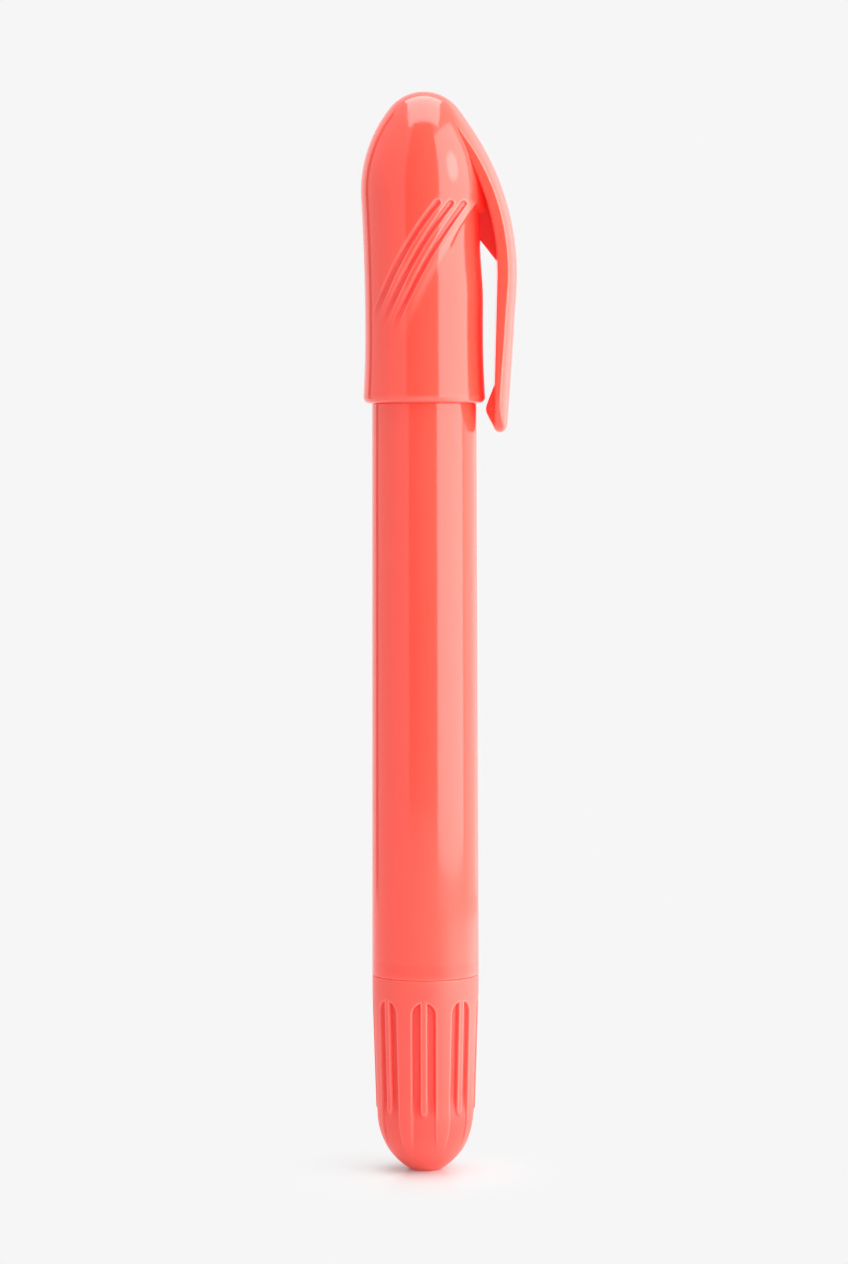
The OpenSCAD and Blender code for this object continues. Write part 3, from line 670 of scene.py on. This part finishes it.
def makeBarrel():
    lowZ = seamZ + barrel["seamGap"]
    highZ = rimZ - barrel["rimGap"]
    beadZ = seamZ + barrel["beadHeight"]
    lowRadius = barrelHigh.x
    lowEdge = barrel["lowEdge"]
    topEdge = barrel["topEdge"]
    topRadius = barrel["topRadius"]
    bandTop = seamZ + barrel["bandRows"]
    bandRadius = lowRadius - (lowRadius - topRadius) * (bandTop - lowZ) / (highZ - lowZ)
    grooveAngle = math.acos((barrel["bore"] - barrel["beadCentre"]) / barrel["beadRoom"])
    grooveHalf = barrel["beadRoom"] * math.sin(grooveAngle)
    outside = joinStretches(
        arcPoints(lowRadius - lowEdge, lowZ + lowEdge, lowEdge, -90, 0, 6),
        linePoints((lowRadius, lowZ + lowEdge), (bandRadius, bandTop), 30),
        linePoints((bandRadius, bandTop), (topRadius, highZ - topEdge), 30),
        arcPoints(topRadius - topEdge, highZ - topEdge, topEdge, 0, 90, 4))
    inside = joinStretches(
        linePoints((topRadius - topEdge, highZ), (barrel["bore"], highZ), 3),
        linePoints((barrel["bore"], highZ), (barrel["bore"], beadZ + grooveHalf), 8),
        arcPoints(barrel["beadCentre"], beadZ, barrel["beadRoom"], math.degrees(grooveAngle),
                  -math.degrees(grooveAngle), 10),
        linePoints((barrel["bore"], beadZ - grooveHalf), (barrel["bore"], lowZ), 3),
        linePoints((barrel["bore"], lowZ), (lowRadius - lowEdge, lowZ), 3))
    profile = joinStretches(outside, inside)[:-1]
    height = profile[:, 1] - seamZ
    band = smoothStep((height - barrel["bandLow"]) / barrel["bandSoft"])
    band = band * smoothStep((barrel["bandHigh"] - height) / barrel["bandSoft"])
    grid = turnedGrid(profile, evenAngles(barrel["columns"]))
    # painted highlight: a light line along the lower edge, by the seam
    edge = barrel["edgeShade"] * (1 - smoothStep(height / barrel["edgeTall"]))
    paintedShading = (edge - barrel["bandShade"] * band)[:, None]
    return gridPiece("barrelTube", grid, coralGloss, paintedShading, wrapRows=True)


fit(makeBarrel(), "barrel", "coral_gloss", "barrel")


# turn knob: a satin end with groups of twin slots, and the spigot that turns in the barrel
knob = {"collarHeight": 2.5, "collarStep": 0.05, "taper": 1.75, "domeHeight": 7.5, "foot": 2.0,
        "footEdge": 0.3, "edge": 0.12, "groups": 8, "turned": -2.0, "columns": 640,
        "archDrop": 0.45, "archRows": 2.0, "recess": 1.47, "rib": 0.51, "ribFoot": 7.9, "ribEnd": 0.65,
        "soft": 0.3, "domeDepth": 0.2, "domeFrom": 2.5, "gripDepth": 0.38, "gripFrom": 7.2,
        "deepenTall": 3.4, "ridgeShade": 1.1, "ridgeAt": 0.17, "ridgeSpread": 0.12,
        "fullShade": 0.35, "edgeShade": 0.35, "edgeTall": 0.35}
spigot = {"radius": 5.47, "edge": 0.2, "bead": 0.35, "beadHeight": 2.2, "ringGroove": 4.56,
          "ringHeight": 4.5, "ringHalf": 0.52, "ringEdge": 0.08, "ringCorner": 0.1,
          "hole": 1.62, "holeDepth": 10.0, "holeEdge": 0.15, "holeCorner": 0.1}

collar = barrelHigh.x - knob["collarStep"]
collarZ = seamZ - knob["collarHeight"]
taper = math.radians(knob["taper"])
domeRadius = collar - (collarZ - knob["domeHeight"]) * math.tan(taper)
footIn = domeRadius - knob["foot"]
domeReach = footIn * math.cos(taper) - knob["domeHeight"] * math.sin(taper)
domeArc = (footIn ** 2 + knob["domeHeight"] ** 2) / (2 * domeReach)
domeX = domeRadius - domeArc * math.cos(taper)
domeZ = knob["domeHeight"] + domeArc * math.sin(taper)


def fluteShare(offset, z):
    # share of the slot depth at a place in one flute group, and where its soft edges are, for a painted
    # highlight
    archZ = collarZ - knob["archDrop"] - knob["recess"]
    ribZ = knob["ribFoot"] + knob["rib"] / knob["ribEnd"]
    recess = np.where(z < archZ, np.abs(offset), np.hypot(offset, z - archZ)) - knob["recess"]
    rib = np.where(z > ribZ, np.abs(offset), np.hypot(offset, knob["ribEnd"] * (z - ribZ))) - knob["rib"]
    outside = np.maximum(recess, -rib)
    share = smoothStep(0.5 - outside / knob["soft"])
    return share, bell(outside, knob["ridgeAt"], knob["ridgeSpread"])


def makeKnob():
    edge = knob["edge"]
    domeStart = math.degrees(math.atan2(-domeZ, knob["foot"] - domeX))
    archZ = collarZ - knob["archRows"]
    gripRadius = collar - (collarZ - archZ) * math.tan(taper)
    outside = joinStretches(
        linePoints((axisGap, 0), (knob["foot"] - knob["footEdge"], 0), 4),
        arcPoints(domeX, domeZ, domeArc, domeStart, -knob["taper"], 70),
        linePoints((domeRadius, knob["domeHeight"]), (gripRadius, archZ), 60),
        linePoints((gripRadius, archZ), (collar, collarZ), 26),
        linePoints((collar, collarZ), (collar, seamZ - edge), 10),
        arcPoints(collar - edge, seamZ - edge, edge, 0, 90, 6))
    radius = spigot["radius"]
    beadZ = seamZ + spigot["beadHeight"]
    grooveLow = seamZ + spigot["ringHeight"] - spigot["ringHalf"]
    grooveHigh = grooveLow + 2 * spigot["ringHalf"]
    holeZ = seamZ - spigot["holeDepth"]
    inside = joinStretches(
        linePoints((collar - edge, seamZ), (radius, seamZ), 3),
        linePoints((radius, seamZ), (radius, beadZ - spigot["bead"]), 3),
        arcPoints(radius, beadZ, spigot["bead"], -90, 90, 8),
        roundedOutline([(radius, beadZ + spigot["bead"], 0),
                        (radius, grooveLow, spigot["ringEdge"]),
                        (spigot["ringGroove"], grooveLow, spigot["ringCorner"]),
                        (spigot["ringGroove"], grooveHigh, spigot["ringCorner"]),
                        (radius, grooveHigh, spigot["ringEdge"]),
                        (radius, spigotZ, spigot["edge"]),
                        (spigot["hole"], spigotZ, spigot["holeEdge"]),
                        (spigot["hole"], holeZ, spigot["holeCorner"]),
                        (axisGap, holeZ, 0)], 4))
    profile = joinStretches(outside, inside)
    angles = evenAngles(knob["columns"])
    grid = turnedGrid(profile, angles)
    pitch = 2 * math.pi / knob["groups"]
    fromGroup = (angles - math.radians(knob["turned"]) + pitch / 2) % pitch - pitch / 2
    height = grid[..., 2]
    share, ridge = fluteShare(profile[:, 0][:, None] * np.sin(fromGroup), height)
    dome = knob["domeDepth"] * smoothStep((height - knob["domeFrom"]) / knob["deepenTall"])
    grip = knob["gripDepth"] * smoothStep((height - knob["gripFrom"]) / knob["deepenTall"])
    fluted = (np.arange(len(profile)) < len(outside))[:, None]
    depth = np.where(fluted, dome + grip, 0.0)
    grid[..., 0] -= depth * share * np.cos(angles)
    grid[..., 1] -= depth * share * np.sin(angles)
    # painted highlight on the lands' edges and at the seam, painted shade in the slots
    paintedShading = knob["ridgeShade"] * ridge * (1 - share) - share
    paintedShading = paintedShading * np.minimum(depth / knob["fullShade"], 1.0)
    paintedShading += knob["edgeShade"] * smoothStep((height - seamZ) / knob["edgeTall"] + 1) * fluted
    return gridPiece("knobGrip", grid, coralSatin, paintedShading)


fit(makeKnob(), "knob", "coral_satin", "turn_knob")


# gel stick: a waxy rod with a rounded end
gel = {"tip": 5.0, "edge": 0.25, "pole": 89.5, "columns": 96}


def makeGel():
    radius = gelHigh.x
    tipCentre = gelHigh.z - gel["tip"]
    tipAngle = math.acos(radius / gel["tip"])
    shoulderZ = tipCentre + gel["tip"] * math.sin(tipAngle)
    foot = roundedOutline([(axisGap, gelLow.z, 0), (radius, gelLow.z, gel["edge"]),
                           (radius, shoulderZ, 0)], 5)
    profile = joinStretches(foot[:-1], linePoints(foot[-2], foot[-1], 24)[1:],
                            arcPoints(0, tipCentre, gel["tip"], math.degrees(tipAngle), gel["pole"], 24))
    return gridPiece("gelRod", turnedGrid(profile, evenAngles(gel["columns"])), gelWax)


fit(makeGel(), "gel", "gel", "gel_stick")


# lead screw: two starts of left-hand thread on a core, over a plain shank
screw = {"radius": 2.2, "core": 1.75, "starts": 2, "lead": 6.0, "runIn": 1.2, "firstRow": 0.2,
         "crestSlope": 5.0, "crestDrop": 0.9, "shank": 1.6, "shankEdge": 0.2, "shankGap": 0.02,
         "columns": 72, "rowStep": 0.12}


def makeScrew():
    gap = screw["shankGap"]
    threadLow = spigotZ + gap
    core = screw["core"]
    shank = roundedOutline([(axisGap, screwLow.z, 0), (screw["shank"], screwLow.z, screw["shankEdge"]),
                            (screw["shank"], threadLow, 0), (core, threadLow + gap, 0)], 4)
    rows = int((screwHigh.z - threadLow) / screw["rowStep"])
    profile = joinStretches(
        shank,
        linePoints((core, threadLow + screw["firstRow"]), (core, screwHigh.z), rows),
        linePoints((core, screwHigh.z), (axisGap, screwHigh.z), 3))
    angles = evenAngles(screw["columns"])
    grid = turnedGrid(profile, angles)
    height = grid[..., 2]
    phase = screw["starts"] * (angles / (2 * math.pi) + height / screw["lead"])
    fromRoot = 0.5 - np.abs(phase % 1.0 - 0.5)
    crest = smoothStep(fromRoot * screw["crestSlope"] - screw["crestDrop"])
    lowEnd = smoothStep((height - threadLow) / screw["runIn"])
    highEnd = smoothStep((screwHigh.z - height) / screw["runIn"])
    rise = (screw["radius"] - core) * crest * (lowEnd * highEnd)
    grid[..., 0] += rise * np.cos(angles)
    grid[..., 1] += rise * np.sin(angles)
    return gridPiece("screwThread", grid, milkWhite)


fit(makeScrew(), "knob", "white_mechanism", "lead_screw")


# inner pieces whose solids are already right keep them and get their finish here
for node, material in (("inner_cap", milkWhite), ("guide_sleeve", milkWhite),
                       ("gel_carrier", milkWhite), ("drag_ring", ringRubber)):
    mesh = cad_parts[node].data
    mesh.materials.clear()
    mesh.materials.append(material)
print("pieces made")


# floor, light and camera, in metres
studio = {"floorRadius": 6.0, "floorColumns": 96, "floorShade": 0.66, "floorRoughness": 0.3,
          "floorSpecular": 0.2, "ambient": 0.72, "background": 0.92,
          "shadeMiddle": (-0.0012, -0.003, 0), "shadeReach": 0.029,
          "shadeSteps": ((0.0, 0.1), (0.12, 0.1), (0.28, 0.62), (0.4, 0.8), (0.65, 1.0)),
          "screenSteps": 41}
# screens run from one angle to another round the pen, seen from above, with 0 at the camera's side
screens = [{"name": "frontScreen", "from": -34, "to": 28, "low": (0.5, 0.0), "high": (0.5, 1.1),
            "shade": 0.14, "sideShade": 0.14, "soft": 1},
           {"name": "rightCorner", "from": 97, "to": 150, "low": (0.3, 0.0), "high": (0.3, 0.4),
            "shade": 1.4, "sideShade": 1.4, "soft": 1},
           {"name": "leftCorner", "from": -132, "to": -121, "low": (0.3, 0.0), "high": (0.3, 0.4),
            "shade": 0.2, "sideShade": 0.2, "soft": 1},
           {"name": "floorGlow", "from": 20, "to": 160, "low": (0.06, 0.0005), "high": (0.26, 0.0005),
            "shade": 2.3, "sideShade": 0.92, "soft": 50},
           {"name": "nearGlow", "from": 20, "to": 170, "low": (0.008, 0.0005), "high": (0.06, 0.0005),
            "shade": 1.1, "sideShade": 0.9, "soft": 50}]
lamps = [{"name": "rightSoftbox", "place": (0.2059, -0.1234, 0.231), "aim": (0, 0, 0.2309),
          "width": 0.3, "height": 0.438, "radiance": 2.45},
         {"name": "softboxHeart", "place": (0.19, -0.128, 0.217), "aim": (0, 0, 0.2169),
          "width": 0.095, "height": 0.105, "radiance": 2.2, "shape": "ELLIPSE"},
         {"name": "lowFill", "place": (0.22, -0.05, 0.05), "aim": (0, 0, 0.04),
          "width": 0.25, "height": 0.09, "radiance": 5.0, "glossy": False},
         {"name": "topSoftbox", "place": (0, 0.017, 0.42), "aim": (0, 0.0171, 0),
          "width": 0.3, "height": 0.31, "radiance": 3.2}]
view = {"place": (-0.0001, -0.448, 0.092), "aim": (-0.0001, 0, 0.0702), "lens": 98.4, "sensor": 36,
        "roll": -0.12, "clipStart": 0.01}


def seenRays(tree):
    rays = tree.nodes.new("ShaderNodeLightPath").outputs
    mirrored = mathNode(tree, "MAXIMUM", rays["Is Glossy Ray"], rays["Is Transmission Ray"])
    return mathNode(tree, "MAXIMUM", rays["Is Camera Ray"], mirrored)


def floorMaterial():
    # a plain pale floor that goes over into the white of the background away from the object
    material = bpy.data.materials.new("paleFloor")
    material.use_nodes = True
    tree = material.node_tree
    shader = tree.nodes["Principled BSDF"]
    shader.inputs["Base Color"].default_value = rgba([studio["floorShade"]] * 3)
    shader.inputs["Roughness"].default_value = studio["floorRoughness"]
    shader.inputs["Specular IOR Level"].default_value = studio["floorSpecular"]
    glow = tree.nodes.new("ShaderNodeEmission")
    glow.inputs["Strength"].default_value = studio["background"]
    distance = tree.nodes.new("ShaderNodeVectorMath")
    distance.operation = "DISTANCE"
    tree.links.new(tree.nodes.new("ShaderNodeNewGeometry").outputs["Position"], distance.inputs[0])
    distance.inputs[1].default_value = studio["shadeMiddle"]
    reach = mathNode(tree, "DIVIDE", distance.outputs["Value"], studio["shadeReach"])
    ease = tree.nodes.new("ShaderNodeValToRGB")
    steps = ease.color_ramp.elements
    while len(steps) < len(studio["shadeSteps"]):
        steps.new(0.5)
    for step, (place, level) in zip(steps, studio["shadeSteps"]):
        step.position = place
        step.color = (level, level, level, 1)
    tree.links.new(reach, ease.inputs["Fac"])
    mix = tree.nodes.new("ShaderNodeMixShader")
    tree.links.new(mathNode(tree, "MULTIPLY", ease.outputs["Color"], seenRays(tree)), mix.inputs["Fac"])
    tree.links.new(shader.outputs["BSDF"], mix.inputs[1])
    tree.links.new(glow.outputs["Emission"], mix.inputs[2])
    tree.links.new(mix.outputs["Shader"], tree.nodes["Material Output"].inputs["Surface"])
    return material


def stageObject(name, points, faces, material):
    mesh = bpy.data.meshes.new(name)
    mesh.from_pydata(points, [], faces)
    mesh.materials.append(material)
    thing = bpy.data.objects.new(name, mesh)
    bpy.context.scene.collection.objects.link(thing)
    return thing


def makeFloor():
    radius = studio["floorRadius"]
    ring = [(radius * math.cos(angle), radius * math.sin(angle), 0.0)
            for angle in evenAngles(studio["floorColumns"])]
    stageObject("floor", ring, [list(range(len(ring)))], floorMaterial())


def makeScreen(screen):
    # a part of the room that only shows in reflections
    material = bpy.data.materials.new(screen["name"])
    material.use_nodes = True
    tree = material.node_tree
    glow = tree.nodes.new("ShaderNodeEmission")
    level = tree.nodes.new("ShaderNodeAttribute")
    level.attribute_name = "level"
    tree.links.new(level.outputs["Fac"], glow.inputs["Strength"])
    tree.links.new(glow.outputs["Emission"], tree.nodes["Material Output"].inputs["Surface"])
    points = []
    levels = []
    for turn in np.linspace(screen["from"], screen["to"], studio["screenSteps"]):
        fromSide = min(turn - screen["from"], screen["to"] - turn)
        share = float(smoothStep(fromSide / screen["soft"]))
        for reach, height in (screen["low"], screen["high"]):
            angle = math.radians(turn)
            points.append((reach * math.sin(angle), -reach * math.cos(angle), height))
            levels.append(screen["sideShade"] + (screen["shade"] - screen["sideShade"]) * share)
    faces = [(start, start + 1, start + 3, start + 2) for start in range(0, len(points) - 2, 2)]
    thing = stageObject(screen["name"], points, faces, material)
    thing.data.attributes.new("level", "FLOAT", "POINT").data.foreach_set("value", levels)
    thing.visible_camera = False
    thing.visible_diffuse = False
    thing.visible_shadow = False
    thing.visible_transmission = False


def aimThing(thing, place, aim):
    thing.location = place
    thing.rotation_euler = (Vector(aim) - Vector(place)).to_track_quat("-Z", "Y").to_euler()


def makeLamp(lamp):
    data = bpy.data.lights.new(lamp["name"], "AREA")
    data.shape = lamp.get("shape", "RECTANGLE")
    data.size = lamp["width"]
    data.size_y = lamp["height"]
    data.energy = lamp["radiance"] * math.pi * lamp["width"] * lamp["height"]
    thing = bpy.data.objects.new(lamp["name"], data)
    aimThing(thing, lamp["place"], lamp["aim"])
    thing.visible_camera = False
    thing.visible_glossy = lamp.get("glossy", True)
    bpy.context.scene.collection.objects.link(thing)


def makeWorld():
    world = bpy.data.worlds.new("studio")
    bpy.context.scene.world = world
    world.use_nodes = True
    tree = world.node_tree
    shader = tree.nodes["Background"]
    lift = mathNode(tree, "MULTIPLY", seenRays(tree), studio["background"] - studio["ambient"])
    tree.links.new(mathNode(tree, "ADD", lift, studio["ambient"]), shader.inputs["Strength"])
    shader.inputs["Color"].default_value = (1, 1, 1, 1)


def makeCamera():
    data = bpy.data.cameras.new("camera")
    data.lens = view["lens"]
    data.sensor_width = view["sensor"]
    data.clip_start = view["clipStart"]
    camera = bpy.data.objects.new("camera", data)
    aimThing(camera, view["place"], view["aim"])
    camera.rotation_euler.rotate_axis("Z", math.radians(view["roll"]))
    bpy.context.scene.collection.objects.link(camera)
    bpy.context.scene.camera = camera


makeFloor()
for screen in screens:
    makeScreen(screen)
for lamp in lamps:
    makeLamp(lamp)
makeWorld()
makeCamera()
bpy.context.scene.view_settings.view_transform = "Standard"
print("stage set")
